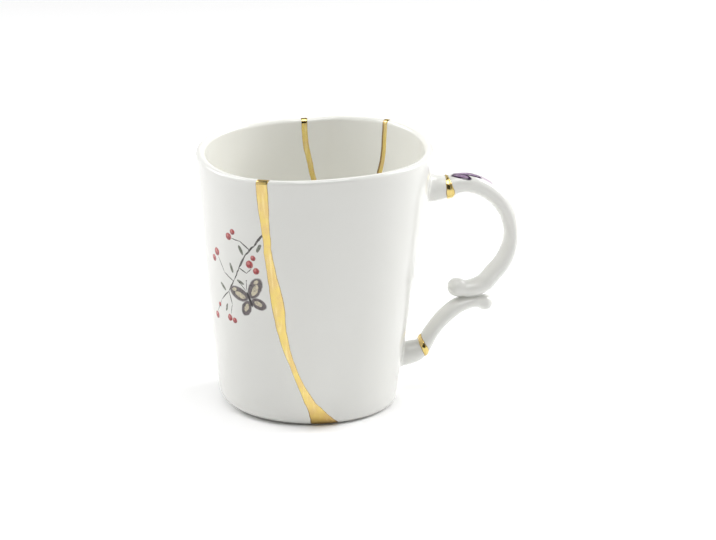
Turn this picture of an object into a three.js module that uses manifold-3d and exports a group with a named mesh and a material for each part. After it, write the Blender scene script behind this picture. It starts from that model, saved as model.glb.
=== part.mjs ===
// A porcelain mug in the gold-mended style: a tapered beaker, cast in one piece with its scroll
// handle, with gold seams laid into shallow channels along its cracks and round the handle's two necks.
// Millimetres, +Z up. +X points along the handle, and the foot stands on z = 0.

import * as THREE from "three";
import { mergeVertices } from "three/addons/utils/BufferGeometryUtils.js";
import Module from "manifold-3d";

const wasm = await Module();
wasm.setup();

// Driving dimensions of the beaker, in millimetres
const height = 100; // table to the middle of the rim's crest
const rimRadius = 45; // outside, at the rim
const footRadius = 33.5; // outside, where the wall's line meets the table
const wall = 3.4;
const floorThickness = 5;
const innerCorner = 6; // fillet between the floor and the inner wall
const footRingInner = 25;
const footRecess = 1.6; // the underside inside the foot ring
const cornerSide = 2.2; // bottom corner's radius on the handle's side
const cornerFar = 6; // and on the side away from it

// The three shards don't quite match: the rim leans, tilts and dips where they meet
const wallBulge = 0.36; // how far the wall bows out of a straight cone, as a share of its taper
const rimLean = 2.9; // the rim's centre stands this far toward the handle
const leanStart = 0.06; // share of the height at which the lean begins
const rimTilt = 2.1; // height that the rim gains from its middle to its high side
const rimTiltDirection = 59; // degrees from the handle
const rimWave = 0.65; // one crown for each shard
const rimWaveDirection = 36.6;
const rimNotch = 0.4; // dip beside the back seam
const rimNotchDirection = 88;
const rimNotchSpread = 9;

// Gold seams, down the wall: [share of the height, degrees from the handle, width in millimetres]
const seamDepth = 0.5;
const seamProud = 0.12;
const clearance = 0.3; // between the gold and its channel
const seamLift = 0.5; // the gold stops this far above the table
const seamFront = [
  [1.06, -123.6, 5.2],
  [0.9, -122.8, 4.8],
  [0.78, -121.1, 3.7],
  [0.66, -119.4, 4.2],
  [0.5, -115.1, 5.8],
  [0.42, -113.5, 4.9],
  [0.34, -110.9, 3.7],
  [0.26, -106.9, 2.7],
  [0.18, -102.1, 3.0],
  [0.1, -96.0, 5.0],
  [0.05, -90.5, 8.6],
  [0.0, -85.4, 13.6],
];
const seamBackLeft = [
  [1.06, 88.8, 2.8],
  [0.92, 88.5, 2.8],
  [0.84, 86.7, 2.5],
  [0.77, 84.3, 2.4],
  [0.6, 79.0, 2.9],
  [0.42, 74.0, 3.4],
  [0.28, 77.0, 2.8],
  [0.14, 72.0, 3.4],
  [0.0, 67.0, 8.0],
];
const seamBackRight = [
  [1.06, 42.4, 2.3],
  [0.92, 42.3, 2.5],
  [0.84, 43.4, 2.7],
  [0.7, 49.5, 2.6],
  [0.56, 61.0, 3.0],
  [0.4, 74.5, 3.2],
];

// and across the floor: [share of the way, swing to the side, width]
const seamInnerEnd = 25; // radius to which the wall's seams run in over the floor
const seamFloor = [
  [0.0, 0.0, 4.4],
  [0.22, 2.4, 3.2],
  [0.48, -1.6, 3.6],
  [0.74, 1.8, 3.0],
  [1.0, 0.0, 4.2],
];

// Scroll handle. A section is an oval: thick lies in the handle's plane, wide lies across it
const upperRootDrop = 17.6; // from the rim down to the upper arm's root
const lowerRoot = 16.5; // from the table up to the lower arm's root
const rootBite = 1.6; // how far each root goes into the wall
const rootFlare = 3; // length over which a root spreads onto the wall
const upperNeckOut = 7.9; // from the wall to the upper gold band
const gripEntryOut = 11.2; // from the wall to where the round grip begins
const gripEntryRise = 1.4;
const gripRadius = 21; // centreline of the round grip, at its top
const gripGrowth = 0.6; // what that radius gains on the way down
const gripFrom = 77; // degrees above level at which the grip begins
const gripSweep = 125;
const gripStandOff = 11.3; // from the wall at the upper root to the grip's centre
const gripDrop = 18.9; // from the upper root down to the grip's centre
const gripThickTop = 7.5;
const gripThickSide = 5.7;
const gripThickEnd = 6.9;
const gripWide = 9.6;
const elbowOut = 8.8; // from the wall at the lower root to the lower gold band
const elbowRise = 3.2;
const kissOut = 3.7; // from below the grip's centre to where the two scrolls touch
const kissDrop = 6.5; // from the grip's centreline down to the lower scroll there
const upperKnob = 3.5; // radius of the ball that ends the upper scroll
const lowerKnob = 2.9;
const knobWiden = 1.1; // the balls are a little wider than deep
const upperBand = { width: 3, tilt: 5 }; // gold round each neck, tilted from upright by degrees
const lowerBand = { width: 2.8, tilt: 12 };

const aroundBody = 56;
const aroundArm = 14;

const radians = THREE.MathUtils.degToRad;

// Piecewise curves through stations, eased so that nothing has a kink
function eased(stations, column, key) {
  const last = stations.length - 1;
  let k = 0;
  const rising = stations[last][0] > stations[0][0];
  while (k < last - 1 && (rising ? key > stations[k + 1][0] : key < stations[k + 1][0])) k++;
  const share = THREE.MathUtils.clamp(
    (key - stations[k][0]) / (stations[k + 1][0] - stations[k][0]),
    0,
    1,
  );
  const at = (i) => stations[THREE.MathUtils.clamp(i, 0, last)][column];
  const [a, b, c, d] = [at(k - 1), at(k), at(k + 1), at(k + 2)];
  return (
    0.5 *
    (2 * b +
      (c - a) * share +
      (2 * a - 5 * b + 4 * c - d) * share ** 2 +
      (3 * b - a - 3 * c + d) * share ** 3)
  );
}

function toSolid(geometry) {
  const bare = new THREE.BufferGeometry()
    .setAttribute("position", geometry.getAttribute("position"))
    .setIndex(geometry.index);
  const merged = mergeVertices(bare, 1e-4);
  const corners = merged.index.array;
  const kept = [];
  for (let i = 0; i < corners.length; i += 3) {
    const [a, b, c] = corners.subarray(i, i + 3);
    if (a !== b && b !== c && c !== a) kept.push(a, b, c);
  }
  return new wasm.Manifold(
    new wasm.Mesh({
      numProp: 3,
      vertProperties: merged.attributes.position.array,
      triVerts: new Uint32Array(kept),
    }),
  );
}

function toGeometry(solid) {
  const mesh = solid.asOriginal().simplify(0.01).getMesh();
  const geometry = new THREE.BufferGeometry()
    .setAttribute("position", new THREE.BufferAttribute(mesh.vertProperties, 3))
    .setIndex(new THREE.BufferAttribute(mesh.triVerts, 1));
  geometry.computeVertexNormals();
  return geometry;
}

// Shape of the beaker
const wallRadius = (z) => {
  const share = THREE.MathUtils.clamp(z / height, 0, 1);
  return footRadius + (rimRadius - footRadius) * share * (1 + wallBulge * (1 - share));
};

const leanAt = (z) => rimLean * THREE.MathUtils.smoothstep(z / height, leanStart, 1);

const cornerRadius = (angle) =>
  (cornerSide + cornerFar) / 2 + ((cornerSide - cornerFar) / 2) * Math.cos(angle);

function rimLift(angle) {
  const tilt = rimTilt * Math.cos(angle - radians(rimTiltDirection));
  const wave = rimWave * Math.cos(3 * (angle - radians(rimWaveDirection)));
  const away = Math.atan2(
    Math.sin(angle - radians(rimNotchDirection)),
    Math.cos(angle - radians(rimNotchDirection)),
  );
  const notch = rimNotch * Math.exp(-((away / radians(rimNotchSpread)) ** 2));
  return tilt + wave - notch;
}

// The unevenness fades out toward the floor's fillet
const bend = floorThickness + innerCorner;

const placed = (radius, angle, z) =>
  new THREE.Vector3(
    leanAt(z) + radius * Math.cos(angle),
    radius * Math.sin(angle),
    z + rimLift(angle) * THREE.MathUtils.clamp((z - bend) / (height - bend), 0, 1.1) ** 2,
  );

// The beaker's half section in one direction, from the underside's middle round to the floor's
function section(angle, grow) {
  const corner = cornerRadius(angle);
  const points = [
    [0, footRecess - grow],
    [footRingInner - 0.8 - grow, footRecess - grow],
    [footRingInner - grow, -grow],
  ];
  const cornerSteps = 4;
  for (let k = 0; k <= cornerSteps; k++) {
    const turn = (k / cornerSteps) * (Math.PI / 2);
    points.push([
      wallRadius(corner * (1 - Math.cos(turn))) - corner * (1 - Math.sin(turn)) + grow * Math.sin(turn),
      corner * (1 - Math.cos(turn)) - grow * Math.cos(turn),
    ]);
  }
  const shoulder = height - wall / 2;
  const wallSteps = 5;
  for (let k = 1; k <= wallSteps; k++) {
    const z = corner + ((shoulder - corner) * k) / wallSteps;
    points.push([wallRadius(z) + grow, z]);
  }
  const rimSteps = 6;
  for (let k = 1; k <= rimSteps; k++) {
    const turn = (k / rimSteps) * Math.PI;
    points.push([
      wallRadius(shoulder) - wall / 2 + (wall / 2 + grow) * Math.cos(turn),
      shoulder + (wall / 2 + grow) * Math.sin(turn),
    ]);
  }
  for (let k = 1; k <= wallSteps; k++) {
    const z = shoulder + ((bend - shoulder) * k) / wallSteps;
    points.push([wallRadius(z) - wall - grow, z]);
  }
  const bendSteps = 4;
  for (let k = 1; k <= bendSteps; k++) {
    const turn = (k / bendSteps) * (Math.PI / 2);
    points.push([
      wallRadius(bend) - wall - innerCorner + (innerCorner - grow) * Math.cos(turn),
      bend - (innerCorner - grow) * Math.sin(turn),
    ]);
  }
  points.push([0, floorThickness + grow]);
  return points;
}

function beaker(grow) {
  const outline = section(0, grow).map(([radius, z]) => new THREE.Vector2(radius, z));
  const geometry = new THREE.LatheGeometry(outline, aroundBody);
  const position = geometry.getAttribute("position");
  for (let i = 0; i <= aroundBody; i++) {
    const angle = ((i % aroundBody) / aroundBody) * 2 * Math.PI - Math.PI / 2;
    section(angle, grow).forEach(([radius, z], j) => {
      const spot = placed(radius, angle, z);
      position.setXYZ(i * outline.length + j, spot.x, spot.y, spot.z);
    });
  }
  return toSolid(geometry);
}

// A standing curtain that follows a seam through the wall, wider than the seam by spread on each side
function curtain(stations, spread) {
  const steps = 16;
  const geometry = new THREE.BoxGeometry(1, 1, 1, 1, 1, steps);
  const position = geometry.getAttribute("position");
  const top = stations[0][0];
  const bottom = (seamLift - spread) / height;
  for (let i = 0; i < position.count; i++) {
    const share = bottom + (top - bottom) * (position.getZ(i) + 0.5) ** 1.2;
    const half = eased(stations, 2, share) / 2 + spread;
    const angle =
      radians(eased(stations, 1, share)) - (2 * position.getX(i) * half) / wallRadius(share * height);
    const innerEnd = share * height > floorThickness / 2 ? seamInnerEnd : (footRingInner + footRadius) / 2;
    const radius = position.getY(i) > 0 ? rimRadius + gripStandOff : innerEnd - spread;
    const spot = placed(radius, angle, share * height);
    position.setXYZ(i, spot.x, spot.y, spot.z);
  }
  return toSolid(geometry);
}

// The same crack goes on across the inside of the floor, from the front seam to the back one
function floorCurtain(spread) {
  const steps = 10;
  const geometry = new THREE.BoxGeometry(1, 1, 1, steps, 1, 1);
  const position = geometry.getAttribute("position");
  const end = (stations) => placed(seamInnerEnd + 2, radians(stations.at(-1)[1]), 0);
  const [from, to] = [end(seamFront), end(seamBackLeft)];
  const side = to.clone().sub(from).normalize().cross(new THREE.Vector3(0, 0, 1));
  for (let i = 0; i < position.count; i++) {
    const share = position.getX(i) + 0.5;
    const half = eased(seamFloor, 2, share) / 2 + spread;
    const spot = from
      .clone()
      .lerp(to, share)
      .addScaledVector(side, eased(seamFloor, 1, share) - 2 * position.getY(i) * half);
    const z = position.getZ(i) > 0 ? floorThickness + innerCorner : floorThickness / 2 + footRecess / 2;
    position.setXYZ(i, spot.x, spot.y, z);
  }
  return toSolid(geometry);
}

// Handle arms: a cylinder bent along stations of [x, z, thick, wide]
const wallX = (z) => leanAt(z) + wallRadius(z);
const upperRoot = height - upperRootDrop;
const gripX = wallX(upperRoot) + gripStandOff;
const gripZ = upperRoot - gripDrop;

const upperArm = [
  [wallX(upperRoot) - rootBite, upperRoot, 13, 13],
  [wallX(upperRoot) + rootFlare / 5, upperRoot, 11.7, 11.9],
  [wallX(upperRoot) + rootFlare, upperRoot - 0.1, 10.3, 10.8],
  [wallX(upperRoot) + upperNeckOut, upperRoot + 0.4, 8.6, 10],
  [wallX(upperRoot) + gripEntryOut, upperRoot + gripEntryRise, 7.8, 9.7],
];
const gripSteps = 6;
const thinnest = 0.6; // share of the way round at which the grip is thinnest
for (let k = 0; k <= gripSteps; k++) {
  const share = k / gripSteps;
  const turn = radians(gripFrom - gripSweep * share);
  const radius = gripRadius + gripGrowth * share;
  const thick =
    share < thinnest
      ? THREE.MathUtils.lerp(gripThickTop, gripThickSide, share / thinnest)
      : THREE.MathUtils.lerp(gripThickSide, gripThickEnd, (share - thinnest) / (1 - thinnest));
  upperArm.push([gripX + radius * Math.cos(turn), gripZ + radius * Math.sin(turn), thick, gripWide]);
}
const upperEnd = [gripX + 0.25, gripZ - gripRadius - 0.1];
upperArm.push([upperEnd[0] + 11.2, upperEnd[1] + 1.7, 6.8, 9.2]);
upperArm.push([upperEnd[0] + 7.3, upperEnd[1] - 0.2, 6.8, 8.8]);
upperArm.push([upperEnd[0] + 3.4, upperEnd[1] - 0.7, 6.5, 8]);
upperArm.push([...upperEnd, 5, 6.6]);

const elbow = [wallX(lowerRoot) + elbowOut, lowerRoot + elbowRise];
const kiss = [gripX + kissOut, gripZ - gripRadius - kissDrop];
const lowerEnd = [kiss[0] + 7.7, kiss[1] - 0.2];
const between = (shareX, shareZ) => [
  elbow[0] + (kiss[0] - elbow[0]) * shareX,
  elbow[1] + (kiss[1] - elbow[1]) * shareZ,
];
const lowerArm = [
  [wallX(lowerRoot) - rootBite, lowerRoot - 0.1, 11.6, 12.4],
  [wallX(lowerRoot) + rootFlare / 5, lowerRoot - 0.1, 10.4, 11.4],
  [wallX(lowerRoot) + rootFlare, lowerRoot + 0.2, 9.3, 10.4],
  [wallX(lowerRoot) + elbowOut * 0.7, lowerRoot + elbowRise * 0.38, 8.3, 9.8],
  [...elbow, 6.3, 9.4],
  [...between(0.21, 0.34), 5.7, 9.2],
  [...between(0.46, 0.65), 5.9, 9.2],
  [...between(0.75, 0.9), 6.2, 9],
  [...kiss, 5.4, 8.6],
  [kiss[0] + 3.9, kiss[1] + 0.6, 5.2, 7.6],
  [...lowerEnd, 4.8, 6],
];

function armPoint(stations, place) {
  const keyed = stations.map((station, i) => [i, ...station]);
  const read = (column) => eased(keyed, column, place);
  return { x: read(1), z: read(2), thick: read(3), wide: read(4) };
}

// Direction in which the arm runs at a place along it, in the handle's plane
function armRun(stations, place) {
  const last = stations.length - 1;
  const before = armPoint(stations, Math.max(place - 0.05, 0));
  const after = armPoint(stations, Math.min(place + 0.05, last));
  return new THREE.Vector3(after.x - before.x, 0, after.z - before.z).normalize();
}

function arm(stations, grow) {
  const last = stations.length - 1;
  const geometry = new THREE.CylinderGeometry(1, 1, 1, aroundArm, last * 2);
  const position = geometry.getAttribute("position");
  for (let i = 0; i < position.count; i++) {
    const place = (position.getY(i) + 0.5) * last;
    const here = armPoint(stations, place);
    const run = armRun(stations, place);
    const across = position.getX(i) * (here.thick / 2 + grow);
    position.setXYZ(
      i,
      here.x - across * run.z,
      position.getZ(i) * (here.wide / 2 + grow),
      here.z + across * run.x,
    );
  }
  return toSolid(geometry);
}

function knob([x, z], radius) {
  const ball = new THREE.SphereGeometry(radius, aroundArm, 8);
  ball.scale(1, knobWiden, 1);
  ball.translate(x, 0, z);
  return toSolid(ball);
}

// A slab across an arm, which a gold band or its channel is cut from
function slab({ stations, place, width, tilt }, spread) {
  const here = armPoint(stations, place);
  const box = new THREE.BoxGeometry(width + 2 * spread, here.wide * 2, here.thick * 2.2);
  box.rotateY(-radians(tilt));
  box.translate(here.x, 0, here.z);
  return toSolid(box);
}

const upperNeck = { stations: upperArm, place: 3, ...upperBand };
const lowerNeck = { stations: lowerArm, place: 3.8, ...lowerBand };

const bandAt = (neck) =>
  arm(neck.stations, seamProud).subtract(arm(neck.stations, -seamDepth)).intersect(slab(neck, 0));

const bandChannel = (neck) =>
  arm(neck.stations, wall)
    .subtract(arm(neck.stations, -seamDepth - clearance))
    .intersect(slab(neck, clearance));

const seamSkin = beaker(seamProud).subtract(beaker(-seamDepth));
const channelSkin = beaker(1).subtract(beaker(-seamDepth - clearance));
const curtains = (spread) =>
  curtain(seamFront, spread)
    .add(curtain(seamBackLeft, spread))
    .add(curtain(seamBackRight, spread))
    .add(floorCurtain(spread));

const handle = arm(upperArm, 0)
  .add(knob(upperEnd, upperKnob))
  .add(arm(lowerArm, 0))
  .add(knob(lowerEnd, lowerKnob))
  .subtract(bandChannel(upperNeck))
  .subtract(bandChannel(lowerNeck));
const mug = beaker(0).subtract(channelSkin.intersect(curtains(clearance))).add(handle);

const porcelain = new THREE.MeshStandardMaterial({ color: 0xf2f1ec, roughness: 0.18, metalness: 0 });
const gold = new THREE.MeshStandardMaterial({ color: 0xe8b84a, roughness: 0.16, metalness: 1 });

const piece = (name, solid, material) => {
  const mesh = new THREE.Mesh(toGeometry(solid), material);
  mesh.name = name;
  return mesh;
};

const group = new THREE.Group();
group.add(
  piece("mug", mug, porcelain),
  piece("gold_seam", seamSkin.intersect(curtains(0)), gold),
  piece("gold_band_upper", bandAt(upperNeck), gold),
  piece("gold_band_lower", bandAt(lowerNeck), gold),
);

// Stand the mug over the origin, centred by its own outer box
const bounds = new THREE.Box3().setFromObject(group);
const middle = bounds.getCenter(new THREE.Vector3());
group.position.set(-middle.x, -middle.y, -bounds.min.z);

export default group;
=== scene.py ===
# A white porcelain mug, broken into three shards and joined again with gold.
# Metres, +Z up, standing on z = 0. +X runs along the handle and +Y toward the back seams.
import math

import bmesh
import bpy
from mathutils import Matrix, Vector, noise


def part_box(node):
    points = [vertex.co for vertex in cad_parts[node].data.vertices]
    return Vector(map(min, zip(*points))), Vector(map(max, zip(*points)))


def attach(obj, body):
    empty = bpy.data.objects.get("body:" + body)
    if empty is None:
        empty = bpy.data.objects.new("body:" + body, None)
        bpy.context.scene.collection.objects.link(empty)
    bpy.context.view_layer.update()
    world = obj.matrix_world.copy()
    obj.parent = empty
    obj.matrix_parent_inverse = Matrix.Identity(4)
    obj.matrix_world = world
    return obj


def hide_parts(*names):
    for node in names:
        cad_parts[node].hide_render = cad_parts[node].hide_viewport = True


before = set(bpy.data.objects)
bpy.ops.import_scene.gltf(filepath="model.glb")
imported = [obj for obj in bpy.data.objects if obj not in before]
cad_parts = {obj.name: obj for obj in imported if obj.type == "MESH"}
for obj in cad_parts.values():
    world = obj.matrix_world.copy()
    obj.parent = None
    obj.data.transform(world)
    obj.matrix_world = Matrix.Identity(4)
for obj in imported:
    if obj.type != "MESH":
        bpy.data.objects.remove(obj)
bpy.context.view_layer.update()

# The beaker. It is slip-cast porcelain, one even wall drawn round a turned mould, with a full round
# rim and a trimmed foot ring. It warped a little in the kiln, and its shards were joined a hair out
# of line, so the rim leans, tilts and dips.
mm = 0.001
height = 100 * mm
rim_radius = 45 * mm
foot_radius = 33.5 * mm
wall = 3.4 * mm
lip_corner = wall / 2 * 0.97
floor_thickness = 5 * mm
inner_corner = 6 * mm
foot_ring_inner = 25 * mm
foot_recess = 1.6 * mm
recess_slope = 1.2 * mm
recess_corner = 0.9 * mm
ring_corner = 0.5 * mm
corner_side = 2.2 * mm
corner_far = 6 * mm
corner_mean = (corner_side + corner_far) / 2
wall_bulge = 0.36
rim_lean = 2.9 * mm
lean_start = 0.06
rim_tilt = 2.1 * mm
rim_tilt_direction = math.radians(59)
rim_wave = 0.65 * mm
rim_wave_direction = math.radians(36.6)
rim_notch = 0.4 * mm
rim_notch_direction = math.radians(88)
rim_notch_spread = math.radians(9)
bend = floor_thickness + inner_corner
shoulder = height - wall / 2
ground_film = 0.02 * mm
corner_segments = 12
longest_edge = 2 * mm
turning_steps = 240
mug_low, mug_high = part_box("mug")


def smooth(low, high, value):
    share = min(max((value - low) / (high - low), 0), 1)
    return share * share * (3 - 2 * share)


def cone_radius(z):
    return foot_radius + (rim_radius - foot_radius) * z / height


def wall_radius(z):
    share = z / height
    return foot_radius + (rim_radius - foot_radius) * share * (1 + wall_bulge * (1 - share))


def lean_at(z):
    return rim_lean * smooth(lean_start, 1, z / height)


axis_x = mug_low.x + wall_radius(shoulder) - lean_at(shoulder)
axis_y = mug_low.y + wall_radius(shoulder)


def rim_lift(angle):
    tilt = rim_tilt * math.cos(angle - rim_tilt_direction)
    wave = rim_wave * math.cos(3 * (angle - rim_wave_direction))
    away = (angle - rim_notch_direction + math.pi) % (2 * math.pi) - math.pi
    return tilt + wave - rim_notch * math.exp(-((away / rim_notch_spread) ** 2))


def settled(radius, angle, z):
    """Where a point of the true, turned beaker ends up on the real one."""
    corner = corner_mean + (corner_side - corner_far) / 2 * math.cos(angle)
    ring = foot_ring_inner + ring_corner
    flat = foot_radius - corner_mean
    if z < ground_film and ring < radius < flat:
        radius = ring + (radius - ring) * (foot_radius - corner - ring) / (flat - ring)
    elif z < corner_mean and radius >= flat:
        inset = (cone_radius(z) - radius) * corner / corner_mean
        z *= corner / corner_mean
        radius = cone_radius(z) - inset
    elif z < 3 * corner_mean and radius > cone_radius(z) - wall * 0.6:
        inset = cone_radius(z) - radius
        z += (corner - corner_mean) * (1.5 - z / corner_mean / 2)
        radius = cone_radius(z) - inset
    radius *= wall_radius(z) / cone_radius(z)
    rise = min(max((z - bend) / (height - bend), 0), 1.1) ** 2
    return Vector(
        (
            axis_x + lean_at(z) + radius * math.cos(angle),
            axis_y + radius * math.sin(angle),
            z + rim_lift(angle) * rise,
        )
    )


def beaker_outline(bm):
    """The beaker's half section as a chain of edges in the XZ plane, with its corners rounded."""
    turns = [
        (0, foot_recess, 0),
        (foot_ring_inner - recess_slope, foot_recess, recess_corner),
        (foot_ring_inner, 0, ring_corner),
        (foot_radius, 0, corner_mean),
        (rim_radius, height, lip_corner),
        (rim_radius - wall, height, lip_corner),
        (cone_radius(floor_thickness) - wall, floor_thickness, inner_corner),
        (0, floor_thickness, 0),
    ]
    chain = [bm.verts.new((x, 0, z)) for x, z, _ in turns]
    for low, high in zip(chain, chain[1:]):
        bm.edges.new((low, high))
    for corner, (_, _, reach) in zip(chain, turns):
        if reach:
            bmesh.ops.bevel(
                bm,
                geom=[corner],
                offset=reach,
                segments=corner_segments,
                profile=0.5,
                material=-1,
                affect="VERTICES",
            )
    for edge in list(bm.edges):
        cuts = int(edge.calc_length() / longest_edge)
        if cuts:
            bmesh.ops.subdivide_edges(bm, edges=[edge], cuts=cuts)


def finished_object(name, bm):
    """Turns a bmesh into a smooth-shaded object at the origin."""
    for face in bm.faces:
        face.smooth = True
    mesh = bpy.data.meshes.new(name)
    bm.to_mesh(mesh)
    bm.free()
    made = bpy.data.objects.new(name, mesh)
    bpy.context.scene.collection.objects.link(made)
    return made


beaker_mesh = bmesh.new()
beaker_outline(beaker_mesh)
bmesh.ops.spin(
    beaker_mesh,
    geom=beaker_mesh.verts[:] + beaker_mesh.edges[:],
    cent=(0, 0, 0),
    axis=(0, 0, 1),
    angle=2 * math.pi,
    steps=turning_steps,
    use_merge=True,
)
bmesh.ops.remove_doubles(beaker_mesh, verts=beaker_mesh.verts, dist=0.001 * mm)
for vertex in beaker_mesh.verts:
    x, y, z = vertex.co
    vertex.co = settled(math.hypot(x, y), math.atan2(y, x), z)
bmesh.ops.recalc_face_normals(beaker_mesh, faces=beaker_mesh.faces)
beaker = finished_object("porcelain_mug", beaker_mesh)

# The scroll handle. It is cast with the beaker: two tapering arms that grow out of the wall, each
# ending in a ball. The upper one turns round a finger's loop, and the lower one rests against it.
upper_root = height - 17.6 * mm
lower_root = 16.5 * mm
root_bite = 1.2 * mm
root_fillet = 1.3 * mm
root_blend = 6 * mm
root_skin = 2 * mm
grip_radius = 21 * mm
grip_inset = 0.1 * mm
grip_growth = 0.6 * mm
grip_from = 77
grip_sweep = 125
grip_thinnest = 0.6
grip_thin = 5.7
grip_more_above = 1.8
grip_more_below = 1.2
grip_wide = 9.6
grip_stand_off = 11.3 * mm
grip_drop = 18.9 * mm
upper_knob = 3.5 * mm
lower_knob = 2.9 * mm
knob_widen = 1.1
knob_melt = 5
cap_step = 8
arm_sides = 40
rings_per_station = 12
nudge = 0.05
crease_angle = math.radians(24)


def wall_x(z):
    return axis_x + lean_at(z) + wall_radius(z)


grip_x = wall_x(upper_root) + grip_stand_off
grip_z = upper_root - grip_drop
upper_start = (wall_x(upper_root), upper_root)
upper_end = (grip_x + 0.25 * mm, grip_z - grip_radius - 0.1 * mm)
lower_start = (wall_x(lower_root), lower_root)
elbow = (lower_start[0] + 8.8 * mm, lower_root + 3.2 * mm)
kiss = (grip_x + 3.7 * mm, grip_z - grip_radius - 6.5 * mm)


def offset(point, across, up, thick, wide):
    """One station of an arm: a place in the handle's plane, and the oval section there."""
    return (point[0] + across * mm, point[1] + up * mm, thick * mm, wide * mm)


def toward_kiss(share_x, share_z, thick, wide):
    x = elbow[0] + (kiss[0] - elbow[0]) * share_x
    z = elbow[1] + (kiss[1] - elbow[1]) * share_z
    return offset((x, z), 0, 0, thick, wide)


upper_arm = [
    offset(upper_start, -root_bite / mm, 0, 11.0, 11.3),
    offset(upper_start, 0.6, 0, 10.8, 11.2),
    offset(upper_start, 3, -0.1, 10.1, 10.7),
    offset(upper_start, 7.9, 0.4, 8.6, 10),
    offset(upper_start, 11.2, 1.4, 7.8, 9.7),
]
grip_steps = 10
for k in range(grip_steps + 1):
    share = k / grip_steps
    turn = math.radians(grip_from - grip_sweep * share)
    radius = grip_radius - grip_inset + grip_growth * share
    before = max(1 - share / grip_thinnest, 0)
    beyond = max((share - grip_thinnest) / (1 - grip_thinnest), 0)
    thick = grip_thin + grip_more_above * before + grip_more_below * beyond
    middle = (grip_x + radius * math.cos(turn), grip_z + radius * math.sin(turn))
    upper_arm.append(offset(middle, 0, 0, thick, grip_wide))
upper_arm += [
    offset(upper_end, 11.2, 1.7, 6.9, 9.3),
    offset(upper_end, 7.3, -0.2, 6.8, 8.9),
    offset(upper_end, 3.4, -0.7, 6.3, 8),
    offset(upper_end, 0, 0, 5, 6.6),
]
lower_arm = [
    offset(lower_start, -root_bite / mm, -0.1, 9.8, 10.9),
    offset(lower_start, 0.6, -0.1, 9.7, 10.8),
    offset(lower_start, 3, 0.2, 9.1, 10.3),
    offset(lower_start, 6.2, 1.2, 8.3, 9.8),
    offset(elbow, 0, 0, 6.3, 9.4),
    toward_kiss(0.21, 0.34, 5.7, 9.2),
    toward_kiss(0.46, 0.65, 5.8, 9.2),
    toward_kiss(0.75, 0.89, 6.0, 9),
    offset(kiss, 0, 0, 5.4, 8.6),
    offset(kiss, 3.9, 0.6, 5.1, 7.6),
    offset(kiss, 7.7, -0.2, 4.6, 6),
]


def eased_between(rows, k, share):
    """The smooth curve through rows of numbers, at a share of the way from row k to the next."""
    last = len(rows) - 1
    a, b, c, d = (Vector(rows[min(max(k + i, 0), last)]) for i in (-1, 0, 1, 2))
    return (
        2 * b
        + (c - a) * share
        + (2 * a - 5 * b + 4 * c - d) * share**2
        + (3 * b - a - 3 * c + d) * share**3
    ) / 2


def station(arm, place):
    """The arm's centre and section at a place along it, eased between its stations."""
    k = min(int(place), len(arm) - 2)
    return eased_between(arm, k, place - k)


def run_at(arm, place):
    """The direction in which the arm runs there."""
    last = len(arm) - 1
    step = station(arm, min(place + nudge, last)) - station(arm, max(place - nudge, 0))
    return Vector((step[0], 0, step[1])).normalized()


def ring_matrix(x, z, run, thick, wide):
    """Carries a unit circle in the XY plane to an oval section across the arm."""
    across = Vector((run.z, 0, -run.x)) * thick / 2
    side = Vector((0, wide / 2, 0))
    columns = Matrix((across, side, run * mm)).transposed().to_4x4()
    return Matrix.Translation((x, axis_y, z)) @ columns


def grown(bm, edges):
    """Extrudes a chain of edges once, and gives the new vertices and edges."""
    made = bmesh.ops.extrude_edge_only(bm, edges=edges)["geom"]
    verts = [g for g in made if isinstance(g, bmesh.types.BMVert)]
    ends = set(verts)
    edges = [g for g in made if isinstance(g, bmesh.types.BMEdge) and set(g.verts) <= ends]
    return verts, edges


def extruded_tube(bm, rings, sides):
    """Draws a circle along the rings, one extrusion for each. Gives its first and last ring."""
    made = bmesh.ops.create_circle(bm, segments=sides, radius=1)
    verts = made["verts"]
    edges = list({edge for vertex in verts for edge in vertex.link_edges})
    bmesh.ops.transform(bm, matrix=rings[0], verts=verts)
    first = edges
    for before, after in zip(rings, rings[1:]):
        verts, edges = grown(bm, edges)
        bmesh.ops.transform(bm, matrix=after @ before.inverted(), verts=verts)
    return first, verts


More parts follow.
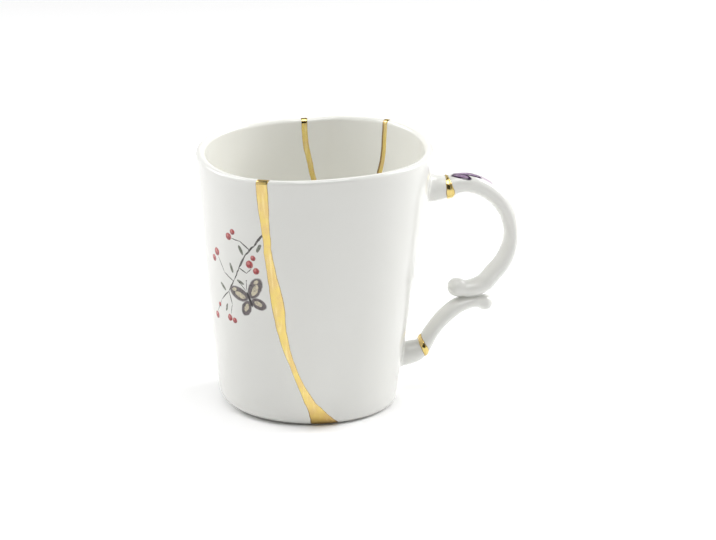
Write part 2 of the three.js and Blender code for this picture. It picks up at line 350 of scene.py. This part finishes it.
def arm_object(name, arm, root_z, knob):
    """An arm with a ball melted into its tip, a domed cap, and a root that follows the wall."""
    rings = []
    last = len(arm) - 1
    end = Vector(arm[-1][:2])
    steps = last * rings_per_station
    for i in range(steps + 1):
        place = last * i / steps
        x, z, thick, wide = station(arm, place)
        away = (Vector((x, z)) - end).length
        ball = 2 * math.sqrt(max(knob**2 - away**2, 0))
        thick = (thick**knob_melt + ball**knob_melt) ** (1 / knob_melt)
        wide = (wide**knob_melt + (ball * knob_widen) ** knob_melt) ** (1 / knob_melt)
        out = max(x - wall_x(root_z), 0)
        if out < root_fillet:
            flare = 2 * (root_fillet - math.sqrt(root_fillet**2 - (root_fillet - out) ** 2))
            thick += flare
            wide += flare
        rings.append(ring_matrix(x, z, run_at(arm, place), thick, wide))
    run = run_at(arm, last)
    for degrees in range(cap_step, 90, cap_step):
        turn = math.radians(degrees)
        x = end.x + run.x * thick / 2 * math.sin(turn)
        z = end.y + run.z * thick / 2 * math.sin(turn)
        narrow = math.cos(turn)
        rings.append(ring_matrix(x, z, run, thick * narrow, wide * narrow))
    bm = bmesh.new()
    first, tip_ring = extruded_tube(bm, rings, arm_sides)
    bmesh.ops.edgeloop_fill(bm, edges=first)
    middle = sum((v.co for v in tip_ring), Vector()) / len(tip_ring)
    bmesh.ops.pointmerge(bm, verts=tip_ring, merge_co=middle)
    for vertex in bm.verts:
        out = vertex.co.x - wall_x(root_z)
        curve = wall_radius(vertex.co.z) ** 2 - (vertex.co.y - axis_y) ** 2
        skin = axis_x + lean_at(vertex.co.z) + math.sqrt(max(curve, 0))
        vertex.co.x += (skin - wall_x(root_z)) * (1 - smooth(0, root_blend, out))
    bmesh.ops.recalc_face_normals(bm, faces=bm.faces)
    return finished_object(name, bm)


arms = [
    arm_object("upper_arm", upper_arm, upper_root, upper_knob),
    arm_object("lower_arm", lower_arm, lower_root, lower_knob),
]


def joined(body, parts):
    """Makes one closed skin of a body and the parts that grow out of it."""
    for part in parts:
        union = body.modifiers.new("union", "BOOLEAN")
        union.operation = "UNION"
        union.solver = "EXACT"
        union.object = part
    evaluated = body.evaluated_get(bpy.context.evaluated_depsgraph_get())
    whole = bpy.data.meshes.new_from_object(evaluated)
    body.modifiers.clear()
    body.data = whole
    for part in parts:
        bpy.data.objects.remove(part)


joined(beaker, arms)
mug_mesh = bmesh.new()
mug_mesh.from_mesh(beaker.data)
bmesh.ops.remove_doubles(mug_mesh, verts=mug_mesh.verts, dist=0.01 * mm)
creases = [
    edge
    for edge in mug_mesh.edges
    if edge.is_manifold
    and edge.calc_face_angle() > crease_angle
    and edge.verts[0].co.x > wall_x(edge.verts[0].co.z) - root_skin
]
near = {vertex for edge in creases for vertex in edge.verts}
for _ in range(2):
    near |= {edge.other_vert(vertex) for vertex in near for edge in vertex.link_edges}
for _ in range(4):
    bmesh.ops.smooth_vert(
        mug_mesh,
        verts=list(near),
        factor=0.5,
        use_axis_x=True,
        use_axis_y=True,
        use_axis_z=True,
    )
for face in mug_mesh.faces:
    face.smooth = True
    middle = face.calc_center_median()
    face.material_index = int(middle.x > wall_x(middle.z) + 1 * mm)
mug_mesh.to_mesh(beaker.data)
mug_mesh.free()
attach(beaker, "root")
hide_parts("mug")


# The glaze and the painting beside the front seam. The glaze is a clear gloss over white porcelain,
# wiped off the foot ring. The painting is fired onto it, so it has colour and no height: a twig
# with berries, and a butterfly.
class Tone:
    """One value, colour or vector in a material, which takes part in sums like a number."""

    def __init__(self, paint, socket):
        self.paint = paint
        self.socket = socket

    def combined(self, operation, first, second):
        sockets = {0: first, 1: second}
        return self.paint.node("ShaderNodeMath", sockets, operation=operation)

    def __add__(self, other):
        return self.combined("ADD", self, other)

    def __sub__(self, other):
        return self.combined("SUBTRACT", self, other)

    def __rsub__(self, other):
        return self.combined("SUBTRACT", other, self)

    def __mul__(self, other):
        return self.combined("MULTIPLY", self, other)

    __radd__ = __add__
    __rmul__ = __mul__

    def beside(self, name):
        """Another output of the same node."""
        return Tone(self.paint, self.socket.node.outputs[name])


class Paint:
    """The nodes of one material, or of the room."""

    def __init__(self, owner):
        owner.use_nodes = True
        owner.node_tree.nodes.clear()
        self.owner = owner
        self.tree = owner.node_tree

    def node(self, kind, sockets, output=0, **settings):
        made = self.tree.nodes.new(kind)
        for name, value in settings.items():
            setattr(made, name, value)
        for name, value in sockets.items():
            if isinstance(value, Tone):
                self.tree.links.new(value.socket, made.inputs[name])
            else:
                made.inputs[name].default_value = value
        return Tone(self, made.outputs[output])

    def fade(self, value, low, high):
        """0 at low and 1 at high, smooth between them."""
        sockets = {"Value": value, "From Min": low, "From Max": high}
        return self.node("ShaderNodeMapRange", sockets, interpolation_type="SMOOTHSTEP")

    def blend(self, share, low, high):
        """A colour between two colours."""
        sockets = {"Factor": share, 6: low, 7: high}
        return self.node("ShaderNodeMix", sockets, output=2, data_type="RGBA")

    def grain(self, place, size, detail=2.0):
        """Smooth random spots of a size in metres, from 0 to 1."""
        sockets = {"Vector": place, "Scale": 1 / size, "Detail": detail}
        return self.node("ShaderNodeTexNoise", sockets, output="Fac")

    def dab(self, plane, mark):
        """One brush mark on a plane of millimetres: an oval that is 1 inside and 0 outside."""
        across, up, long, wide, degrees = mark
        sockets = {
            "Vector": plane,
            "Location": (across, up, 0),
            "Rotation": (0, 0, math.radians(degrees)),
            "Scale": (long, wide, 1),
        }
        inside = self.node("ShaderNodeMapping", sockets, vector_type="TEXTURE")
        reach = self.node(
            "ShaderNodeVectorMath", {0: inside}, output="Value", operation="LENGTH"
        )
        return self.fade(reach, 1.0, 0.8)

    def dabs(self, plane, marks):
        """Several brush marks on a plane as one mask."""
        mask = self.dab(plane, marks[0])
        for mark in marks[1:]:
            mask = mask.combined("MAXIMUM", mask, self.dab(plane, mark))
        return mask

    def dots(self, plane, marks):
        """Round brush marks on a plane of millimetres: [across, up, size]."""
        mask = 0
        for across, up, size in marks:
            reach = self.node(
                "ShaderNodeVectorMath",
                {0: plane, 1: (across, up, 0)},
                output="Value",
                operation="DISTANCE",
            )
            mask = reach.combined("MAXIMUM", mask, self.fade(reach, size, size * 0.8))
        return mask

    def finish(self, sockets, bump, bump_height):
        """Closes a material with a shader and a fine bump, and gives it back."""
        sockets["Normal"] = self.node(
            "ShaderNodeBump", {"Height": bump, "Distance": bump_height}
        )
        shader = self.node("ShaderNodeBsdfPrincipled", sockets)
        self.node_to_output("ShaderNodeOutputMaterial", shader)
        return self.owner

    def node_to_output(self, kind, shader):
        made = self.tree.nodes.new(kind)
        self.tree.links.new(shader.socket, made.inputs["Surface"])


white = (0.742, 0.743, 0.714, 1)
warm = (0.724, 0.723, 0.688, 1)
# The inside of the cup gets a lighter white than the outside. This is painted light that brightens
# the inside.
inner_white_painted_light = (0.828, 0.826, 0.778, 1)
unglazed = (0.7, 0.67, 0.62, 1)


class Glaze(Paint):
    """Clear gloss over white porcelain, and the colours that are fired onto it."""

    def __init__(self, name):
        super().__init__(bpy.data.materials.new(name))
        self.place = self.node("ShaderNodeTexCoord", {}, output="Object")
        self.x = self.node("ShaderNodeSeparateXYZ", {"Vector": self.place})
        self.y = self.x.beside("Y")
        self.z = self.x.beside("Z")
        self.bare = self.fade(self.z, 0.5 * mm, 0.15 * mm)
        self.cloud = self.grain(self.place, 22 * mm)
        self.waver = self.grain(self.place, 1.6 * mm) - 0.5
        self.wash = self.fade(self.grain(self.place, 0.9 * mm, 3.0), 0.25, 0.6)
        self.colour = self.blend(self.cloud, white, warm)
        self.brush(self.bare, unglazed)

    def brush(self, share, colour):
        self.colour = self.blend(share, self.colour, colour)

    def fired(self):
        sockets = {
            "Base Color": self.colour,
            "Roughness": 0.1 + self.bare * 0.45 + self.cloud * 0.04,
            "IOR": 1.52,
        }
        return self.finish(sockets, self.grain(self.place, 9 * mm, 1.0), 0.05 * mm)


glaze = Glaze("glazed_porcelain")
leaning = glaze.fade(glaze.z, lean_start * height, height) * rim_lean
beaker_x = glaze.x - axis_x - leaning
beaker_y = glaze.y - axis_y
azimuth = beaker_x.combined("ARCTAN2", beaker_y, beaker_x)
spoke = glaze.node("ShaderNodeCombineXYZ", {"X": beaker_x, "Y": beaker_y})
spoke = glaze.node("ShaderNodeVectorMath", {0: spoke}, output="Value", operation="LENGTH")
share = glaze.z * (1 / height)
swelling = share * (1 + wall_bulge - share * wall_bulge)
depth = swelling * (rim_radius - foot_radius) + foot_radius - spoke
# Painted light: the inner walls and floor take the lighter inner white, so the inside looks
# brighter than its glaze would.
inside = glaze.fade(depth, 0.25 * wall, 0.75 * wall) * glaze.fade(glaze.z, 2 * mm, 4.5 * mm)
glaze.brush(inside, inner_white_painted_light)
picture_edge = math.radians(-118)
picture_radius = 40
out_of_sight = 200
hand_waver = glaze.waver * 0.5
leftward = (picture_edge - azimuth) * picture_radius + hand_waver - inside * out_of_sight
upward = glaze.z * (1 / mm) + hand_waver
picture = glaze.node("ShaderNodeCombineXYZ", {"X": leftward, "Y": upward})


def stroke(points, first, last):
    """A row of long marks through points of a plane, from one half width to another."""
    marks = []
    for k, (low, high) in enumerate(zip(points, points[1:])):
        run = Vector(high) - Vector(low)
        middle = (Vector(high) + Vector(low)) / 2
        wide = first + (last - first) * k / max(len(points) - 2, 1)
        degrees = math.degrees(math.atan2(run.y, run.x))
        marks.append((middle.x, middle.y, run.length / 2 + wide * 2, wide, degrees))
    return marks


def mirrored(marks, middle, tilt):
    """Marks of the right half and the left half of a butterfly, turned by a tilt."""
    turned = []
    swing = math.radians(tilt)
    for side in (1, -1):
        for across, up, long, wide, degrees in marks:
            u = across * side * math.cos(swing) - up * math.sin(swing)
            v = across * side * math.sin(swing) + up * math.cos(swing)
            turned.append((middle[0] + u, middle[1] + v, long, wide, degrees * side + tilt))
    return turned


twigs = (
    stroke([(3, 77.5), (7, 72), (11, 67.5), (14, 62), (16.5, 57)], 0.5, 0.32)
    + stroke([(16.5, 57), (20, 51.5), (25, 47), (29, 41)], 0.3, 0.2)
    + stroke([(9, 70), (13, 72.6), (17.5, 73)], 0.3, 0.2)
    + stroke([(14, 62), (10.5, 60.5), (8.5, 62.5)], 0.26, 0.18)
    + stroke([(17, 56), (22, 58.5), (25.5, 64)], 0.26, 0.18)
    + stroke([(20, 51.5), (18.5, 46.5), (19.5, 42.5)], 0.24, 0.16)
)
leaves = [
    (12.9, 69.2, 2.3, 0.75, 62),
    (5.2, 71.2, 2.0, 0.7, -62),
    (17.9, 61.2, 2.2, 0.7, 70),
    (13.6, 56.4, 2.0, 0.65, 20),
    (23.4, 52.6, 2.2, 0.7, 40),
    (22.0, 44.6, 1.9, 0.6, -70),
]
berries = [
    (9.2, 64.2, 1.7),
    (6.4, 62.0, 1.48),
    (7.6, 66.9, 1.18),
    (18.6, 73.4, 1.55),
    (16.6, 75.6, 1.28),
    (26.3, 65.6, 1.7),
    (28.6, 62.6, 1.45),
    (29.6, 39.6, 1.6),
    (20.3, 40.7, 1.5),
    (17.6, 40.2, 1.3),
    (26.8, 44.6, 1.05),
]
berry_lights = [(u + 0.4, v + 0.45, size * 0.38) for u, v, size in berries]
berry_dots = [(u - 0.4, v - 0.7, 0.4) for u, v, _ in berries]
butterfly = (9.6, 50.5)
butterfly_tilt = -24
wings = [(4.1, 3.1, 5.2, 2.9, 38), (3.0, -3.0, 3.7, 2.4, -42)]
wing_lights = [(3.7, 2.4, 2.9, 1.2, 40), (5.6, 5.2, 1.3, 0.8, 10), (2.9, -2.8, 1.9, 1.0, -42)]
body = [(0, -0.3, 0.6, 3.5, 0), (0.9, 5.0, 2.1, 0.16, 66), (1.8, 6.9, 0.32, 0.32, 0)]
wing_mask = glaze.dabs(picture, mirrored(wings, butterfly, butterfly_tilt))
light_mask = glaze.dabs(picture, mirrored(wing_lights, butterfly, butterfly_tilt))
body_mask = glaze.dabs(picture, mirrored(body, butterfly, butterfly_tilt))

dark_twig = (0.035, 0.027, 0.024, 1)
leaf_green = (0.075, 0.085, 0.05, 1)
berry_red = (0.35, 0.018, 0.022, 1)
berry_pink = (0.70, 0.27, 0.25, 1)
wing_dark = (0.032, 0.024, 0.028, 1)
wing_grey = (0.12, 0.095, 0.1, 1)
cream = (0.66, 0.6, 0.44, 1)
ink = (0.035, 0.03, 0.032, 1)
glaze.brush(glaze.dabs(picture, twigs) * (glaze.wash * 0.2 + 0.78), dark_twig)
glaze.brush(glaze.dabs(picture, leaves) * (glaze.wash * 0.35 + 0.6), leaf_green)
glaze.brush(glaze.dots(picture, berries) * (glaze.wash * 0.2 + 0.78), berry_red)
glaze.brush(glaze.dots(picture, berry_lights) * 0.6, berry_pink)
glaze.brush(glaze.dots(picture, berry_dots) * 0.7, ink)
glaze.brush(wing_mask * 0.95, glaze.blend(glaze.wash, wing_dark, wing_grey))
glaze.brush(light_mask * (glaze.wash * 0.5 + 0.4), cream)
glaze.brush(body_mask, ink)
beaker.data.materials.append(glaze.fired())

# The painting on the handle. Long violet leaves lie over the top of the grip, in the same glaze as
# the beaker's. The two nearest the wall have a darker line round them, and the rest are only a
# breath of colour.
grip_glaze = Glaze("glazed_handle")
grip_across = grip_glaze.x - grip_x
grip_up = grip_glaze.z - grip_z
grip_turn = grip_across.combined("ARCTAN2", grip_up, grip_across)
grip_bow = 23
grip_girth = 4.3
spoke = grip_glaze.node("ShaderNodeCombineXYZ", {"X": grip_across, "Y": grip_up})
spoke = grip_glaze.node("ShaderNodeVectorMath", {0: spoke}, output="Value", operation="LENGTH")
sideways = grip_across.combined("ABSOLUTE", grip_glaze.y - axis_y, 0)
roll = sideways.combined("ARCTAN2", sideways * 0.8, spoke - grip_radius)
hand_waver = grip_glaze.waver * 0.4
along = (math.pi / 2 - grip_turn) * grip_bow + hand_waver
around = roll * grip_girth + hand_waver
grip_top = grip_glaze.node("ShaderNodeCombineXYZ", {"X": along, "Y": around})
leaf_backs = [(1.2, 2.65, 4.4, 1.7, 21), (3.6, 1.0, 6.1, 1.35, 10)]
leaf_fills = [(1.1, 2.4, 3.1, 0.85, 21), (3.3, 0.75, 5.1, 0.75, 9)]
leaf_tips = [(10.2, 1.1, 3.8, 0.85, 13), (7.6, 2.2, 1.6, 0.6, 14)]
leaf_veins = [(0.6, 2.3, 2.8, 0.2, 21), (4.2, 0.8, 4.2, 0.16, 9)]
faint_leaf = [(12.6, 2.3, 3.6, 0.5, 8), (12.4, 0.5, 3.2, 0.35, 3)]
violet_ink = (0.035, 0.014, 0.045, 1)
violet = (0.3, 0.21, 0.33, 1)
lilac = (0.47, 0.35, 0.47, 1)
pale_lilac = (0.72, 0.66, 0.73, 1)
leaf_wash = grip_glaze.blend(grip_glaze.wash, lilac, violet)
grip_glaze.brush(grip_glaze.dabs(grip_top, faint_leaf) * 0.6, pale_lilac)
grip_glaze.brush(grip_glaze.dabs(grip_top, leaf_tips) * 0.75, lilac)
grip_glaze.brush(grip_glaze.dabs(grip_top, leaf_backs), violet_ink)
grip_glaze.brush(grip_glaze.dabs(grip_top, leaf_fills), leaf_wash)
grip_glaze.brush(grip_glaze.dabs(grip_top, leaf_veins) * 0.5, violet_ink)
beaker.data.materials.append(grip_glaze.fired())

# The gold of the seams. Lacquer fills each crack and stands a hair proud of the glaze. Gold is laid
# over it while it is tacky, so its edges are soft and a thin brown line of lacquer shows there.
# A seam's stations are [share of the height, degrees round the beaker, width in mm].
seam_proud = 0.11 * mm
seam_sink = 0.12 * mm
seam_thickness = 0.5 * mm
seam_lift = 0.45 * mm
seam_inner_end = 25 * mm
seam_corner = 3 * mm
ribbon_steps = 14
seam_front = [
    (1.06, -123.2, 5.9),
    (0.9, -122.5, 5.3),
    (0.78, -121.1, 3.7),
    (0.66, -119.4, 4.2),
    (0.5, -115.1, 5.8),
    (0.42, -113.5, 4.9),
    (0.34, -110.9, 3.7),
    (0.26, -106.9, 2.7),
    (0.18, -102.1, 3.0),
    (0.1, -96.0, 5.0),
    (0.05, -90.5, 8.6),
    (0.0, -85.4, 13.6),
]
seam_back_left = [
    (1.06, 88.8, 2.9),
    (0.92, 88.2, 2.9),
    (0.84, 85.9, 2.8),
    (0.77, 83.2, 2.7),
    (0.6, 78.2, 2.9),
    (0.42, 74.0, 3.4),
    (0.28, 77.0, 2.8),
    (0.14, 72.0, 3.4),
    (0.0, 67.0, 8.0),
]
seam_back_right = [
    (1.06, 42.2, 2.9),
    (0.92, 42.0, 3.0),
    (0.84, 42.5, 3.1),
    (0.7, 47.2, 2.9),
    (0.56, 61.0, 3.0),
    (0.4, 74.5, 3.2),
]
seam_floor = [
    (0.0, 0.0, 4.4),
    (0.22, 2.4, 3.2),
    (0.48, -1.6, 3.6),
    (0.74, 1.8, 3.0),
    (1.0, 0.0, 4.2),
]


def eased(stations, key):
    """The second and third numbers of a seam's stations at a key, as a smooth curve."""
    last = len(stations) - 1
    rising = stations[-1][0] > stations[0][0]
    k = 0
    while k < last - 1 and (key > stations[k + 1][0] if rising else key < stations[k + 1][0]):
        k += 1
    share = (key - stations[k][0]) / (stations[k + 1][0] - stations[k][0])
    rows = [numbers for _, *numbers in stations]
    return eased_between(rows, k, min(max(share, 0), 1))


def floor_end(stations):
    angle = math.radians(stations[-1][1])
    reach = seam_inner_end + 2 * mm
    return Vector((axis_x + reach * math.cos(angle), axis_y + reach * math.sin(angle)))


floor_from = floor_end(seam_front)
floor_to = floor_end(seam_back_left)
floor_run = (floor_to - floor_from).normalized()
floor_side = Vector((floor_run.y, -floor_run.x))


def uneven(point, size, amount):
    """A smooth random value between minus and plus an amount, in spots of a size."""
    return amount * noise.noise(point / size)


def laid(stations, forward, radius, across, z):
    """A point of the flat ribbon, laid along a crack of the beaker. Across runs from -1 to 1."""
    centre, width = eased(stations, z / height)
    wobble = uneven(Vector((centre, z / mm, 3)), 4, 0.25)
    half = width / 2 * mm * (1 + uneven(Vector((z / mm, across, centre)), 3, 0.1))
    angle = math.radians(centre) + (wobble * mm - across * half) / max(wall_radius(z), radius)
    on_wall = settled(radius, angle, z)
    if z > bend or radius > seam_inner_end + seam_corner:
        return on_wall
    share = 0.5 * (seam_inner_end - radius) / seam_inner_end
    share = share if forward else 1 - share
    swing, width = eased(seam_floor, min(max(share, 0), 1))
    middle = floor_from.lerp(floor_to, share) + floor_side * swing * mm
    half = width / 2 * mm * (1 + uneven(Vector((share * 40, across, 7)), 3, 0.1))
    spot = middle + floor_side * (across * half * (-1 if forward else 1))
    on_floor = Vector((spot.x, spot.y, on_wall.z))
    up_wall = smooth(seam_inner_end - seam_corner, seam_inner_end + seam_corner, radius)
    return on_wall.lerp(on_floor, 1 - up_wall)


def thickened(skin):
    """Gives a skin of gold its depth, on the side that lies in the porcelain."""
    thickness = skin.modifiers.new("thickness", "SOLIDIFY")
    thickness.thickness = seam_thickness
    thickness.offset = -1
    evaluated = skin.evaluated_get(bpy.context.evaluated_depsgraph_get())
    solid = bpy.data.meshes.new_from_object(evaluated)
    skin.modifiers.clear()
    skin.data = solid


def facing_outward(bm):
    bmesh.ops.recalc_face_normals(bm, faces=bm.faces)
    highest = max(bm.verts, key=lambda v: v.co.z)
    if highest.normal.z < 0:
        bmesh.ops.reverse_faces(bm, faces=bm.faces)


def underside(spot, lowest):
    """Whether a point of the outline lies below the gold's end or under the floor."""
    under_floor = spot.z < floor_thickness - 0.1 * mm and spot.x < foot_ring_inner + 1 * mm
    return spot.z < lowest or under_floor


def strip_place(k):
    """Where column k of a ribbon lies, from -1 to 1 across it, closer together at the edges."""
    return math.sin(math.pi * (k / ribbon_steps - 0.5))


def ribbon(name, runs):
    """A thin gold ribbon over one crack: wall, rim, wall and floor."""
    bm = bmesh.new()
    bm.verts.layers.float.new("across")
    for stations, forward, lowest in runs:
        strip = bmesh.new()
        layer = strip.verts.layers.float.new("across")
        beaker_outline(strip)
        below = [v for v in strip.verts if underside(v.co, lowest)]
        bmesh.ops.delete(strip, geom=below, context="VERTS")
        bmesh.ops.translate(strip, verts=strip.verts, vec=(0, -1, 0))
        edges = strip.edges[:]
        for k in range(ribbon_steps):
            verts, edges = grown(strip, edges)
            step = strip_place(k + 1) - strip_place(k)
            bmesh.ops.translate(strip, verts=verts, vec=(0, step, 0))
        for vertex in strip.verts:
            radius, across, z = vertex.co
            vertex[layer] = across
            vertex.co = laid(stations, forward, radius, across, z)
        scrap = bpy.data.meshes.new("scrap")
        strip.to_mesh(scrap)
        strip.free()
        bm.from_mesh(scrap)
        bpy.data.meshes.remove(scrap)
    bmesh.ops.remove_doubles(bm, verts=bm.verts, dist=0.02 * mm)
    facing_outward(bm)
    bm.normal_update()
    normals = [v.normal.copy() for v in bm.verts]
    side = bm.verts.layers.float["across"]
    for vertex, normal in zip(bm.verts, normals):
        edge = abs(vertex[side]) ** 5
        swell = uneven(vertex.co / mm, 2.3, 0.03 * mm) * (1 - edge)
        vertex.co += normal * (seam_proud * (1 - edge) - seam_sink * edge + swell)
    made = finished_object(name, bm)
    thickened(made)
    return made


through = ribbon(
    "gold_seam_fill",
    [(seam_front, True, seam_lift), (seam_back_left, False, seam_lift)],
)
branch = ribbon("gold_branch", [(seam_back_right, True, seam_back_right[-1][0] * height)])
joined(through, [branch])
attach(through, "root")
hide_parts("gold_seam")

gold = Paint(bpy.data.materials.new("gold_lustre"))
place = gold.node("ShaderNodeTexCoord", {}, output="Object")
across = gold.node("ShaderNodeAttribute", {}, output="Fac", attribute_name="across")
edge = gold.fade(across.combined("ABSOLUTE", across, 0), 0.75, 0.84)
leaf = gold.fade(gold.grain(place, 4 * mm), 0.35, 0.65)
gold_yellow = (0.71, 0.55, 0.18, 1)
gold_red = (0.67, 0.49, 0.205, 1)
gold_pale = (0.82, 0.7, 0.36, 1)
# A darker gold, used as painted shade low on the seams.
gold_painted_shade = (0.52, 0.33, 0.1, 1)
lacquer_brown = (0.16, 0.08, 0.04, 1)
colour = gold.blend(leaf, gold_yellow, gold_red)
grooves = gold.node("ShaderNodeVectorMath", {0: place, 1: (1, 1, 0.08)}, operation="MULTIPLY")
streak = gold.fade(gold.grain(grooves, 1.1 * mm), 0.5, 0.75)
colour = gold.blend(streak * 0.6, colour, gold_pale)
# Painted shade: the gold darkens toward the foot and the cup's floor, standing in for the dark
# floor it reflects there.
low = gold.node("ShaderNodeSeparateXYZ", {"Vector": place}, output="Z")
painted_low_shade = gold.fade(low, 11 * mm, 1.5 * mm)
colour = gold.blend(painted_low_shade * 0.6, colour, gold_painted_shade)
colour = gold.blend(edge * 0.75, colour, lacquer_brown)
through.data.materials.append(
    gold.finish(
        {
            "Base Color": colour,
            "Roughness": 0.15 + leaf * 0.06 + edge * 0.2,
            "Metallic": 1 - edge * 0.4,
        },
        gold.grain(place, 1.4 * mm),
        0.02 * mm,
    )
)

# The gold bands round the handle's two necks. The handle broke off there, and each joint was built
# up with lacquer and gilded, so a band is a lumpy collar with a drop where the lacquer ran.
band_proud = 0.34 * mm
band_sink = 0.3 * mm
band_steps = 16
band_sides = 72
drop_height = 0.25 * mm
drop_spread = 35


def band(name, arm, place, edges, drop):
    """A bead of gold round an arm. Its edges are [degrees round the arm, low, high] in mm."""
    slope = (station(arm, place + nudge) - station(arm, place - nudge)) / (2 * nudge)
    speed = math.hypot(slope[0], slope[1])
    bm = bmesh.new()
    side = bm.verts.layers.float.new("across")
    rings = [
        Matrix.Translation((0, 0, 2 * k / band_steps - 1)) for k in range(band_steps + 1)
    ]
    extruded_tube(bm, rings, band_sides)
    for vertex in bm.verts:
        degrees = math.degrees(math.atan2(vertex.co.y, vertex.co.x)) % 360
        low, high = eased(edges, degrees)
        reach = vertex.co.z
        slip = low + (high - low) * (reach + 1) / 2
        slip += uneven(Vector((degrees / 40, reach, place)), 1, 0.25)
        x, z, thick, wide = station(arm, place + slip * mm / speed)
        run = run_at(arm, place + slip * mm / speed)
        dome = math.sqrt(max(1 - reach**2, 0))
        away = (degrees - drop + 180) % 360 - 180
        swell = uneven(vertex.co * 2 + Vector((place, 0, 0)), 1, 0.16 * mm)
        swell += drop_height * math.exp(-((away / drop_spread) ** 2))
        out = (band_proud + swell + band_sink) * dome - band_sink
        vertex[side] = reach
        spot = Vector((vertex.co.x, vertex.co.y, 0))
        vertex.co = ring_matrix(x, z, run, thick + 2 * out, wide + 2 * out) @ spot
    facing_outward(bm)
    made = finished_object(name, bm)
    thickened(made)
    made.data.materials.append(gold.owner)
    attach(made, "root")
    return made


upper_edges = [
    (0, -1.1, 0.6),
    (90, -1.3, 1.3),
    (180, -0.8, 1.7),
    (270, -1.7, 1.8),
    (360, -1.1, 0.6),
]
lower_edges = [
    (0, -1.7, 0.5),
    (90, -0.6, 2.0),
    (180, 1.2, 2.8),
    (270, -0.9, 1.6),
    (360, -1.7, 0.5),
]
upper_band = band("upper_gold_band", upper_arm, 3, upper_edges, 300)
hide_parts("gold_band_upper")
lower_band = band("lower_gold_band", lower_arm, 3.8, lower_edges, 255)
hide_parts("gold_band_lower")

# The stage. A wide pale floor between pale walls, with next to no light from behind the camera.
# Two soft lights stand beside the mug, a little behind it, and one hangs high above its front.
floor_radius = 6
floor_mesh = bmesh.new()
bmesh.ops.create_circle(floor_mesh, cap_ends=True, segments=96, radius=floor_radius)
stage_floor = finished_object("stage_floor", floor_mesh)
pale = Paint(bpy.data.materials.new("pale_floor"))
matte = pale.node(
    "ShaderNodeBsdfPrincipled", {"Base Color": (0.96, 0.96, 0.96, 1), "Roughness": 0.7}
)
pale.node_to_output("ShaderNodeOutputMaterial", matte)
stage_floor.data.materials.append(pale.owner)


def toward(azimuth, elevation):
    """The direction in which something stands, in degrees from the mug's front and from level."""
    side = math.radians(azimuth)
    rise = math.radians(elevation)
    return Vector(
        (math.sin(side) * math.cos(rise), -math.cos(side) * math.cos(rise), math.sin(rise))
    )


camera_data = bpy.data.cameras.new("camera")
camera_data.sensor_width = 36
camera_data.lens = 138.6
camera_data.clip_start = 0.01
camera = bpy.data.objects.new("camera", camera_data)
camera_azimuth = -8
camera_rise = 16.8
camera_distance = 1.0546
back = toward(camera_azimuth, camera_rise)
aim = Vector((axis_x + 18.94 * mm, axis_y - 2.66 * mm, 51.63 * mm))
camera.location = aim + back * camera_distance
camera.rotation_mode = "QUATERNION"
camera.rotation_quaternion = (-back).to_track_quat("-Z", "Y")
bpy.context.scene.collection.objects.link(camera)
bpy.context.scene.camera = camera


light_distance = 1.2


def soft_light(name, direction, wide, tall, power):
    """A soft box of light, turned to the mug."""
    lamp = bpy.data.lights.new(name, "AREA")
    lamp.shape = "RECTANGLE"
    lamp.size = wide
    lamp.size_y = tall
    lamp.energy = power
    made = bpy.data.objects.new(name, lamp)
    made.location = direction * light_distance
    made.rotation_mode = "QUATERNION"
    made.rotation_quaternion = (-direction).to_track_quat("-Z", "Y")
    bpy.context.scene.collection.objects.link(made)


soft_light("left_light", toward(-120, 38), 0.45, 0.7, 5.4)
soft_light("right_light", toward(108, 38), 0.45, 0.7, 8.8)
soft_light("top_light", toward(camera_azimuth, 74), 0.7, 0.7, 7.0)

room = Paint(bpy.data.worlds.new("room"))
view = room.node("ShaderNodeTexCoord", {}, output="Generated")


def facing(direction):
    """How squarely a line of sight runs in a direction, from -1 to 1."""
    sockets = {0: view, 1: direction}
    return room.node("ShaderNodeVectorMath", sockets, output="Value", operation="DOT_PRODUCT")


beside = view.combined("ABSOLUTE", facing(toward(camera_azimuth + 90, 0)), 0)
behind = facing(toward(camera_azimuth + 180, 0))
side_walls = room.fade(beside, 0.3, 0.95) * 1.2
back_wall = room.fade(behind, 0.1, 0.95) * 0.9
front_wall = 0.03
glow = front_wall + side_walls + back_wall
seen = room.node("ShaderNodeLightPath", {}, output="Is Camera Ray")
backdrop = room.node("ShaderNodeBackground", {"Strength": glow * (1 - seen) + seen})
room.node_to_output("ShaderNodeOutputWorld", backdrop)
bpy.context.scene.world = room.owner
bpy.context.scene.view_settings.view_transform = "Standard"
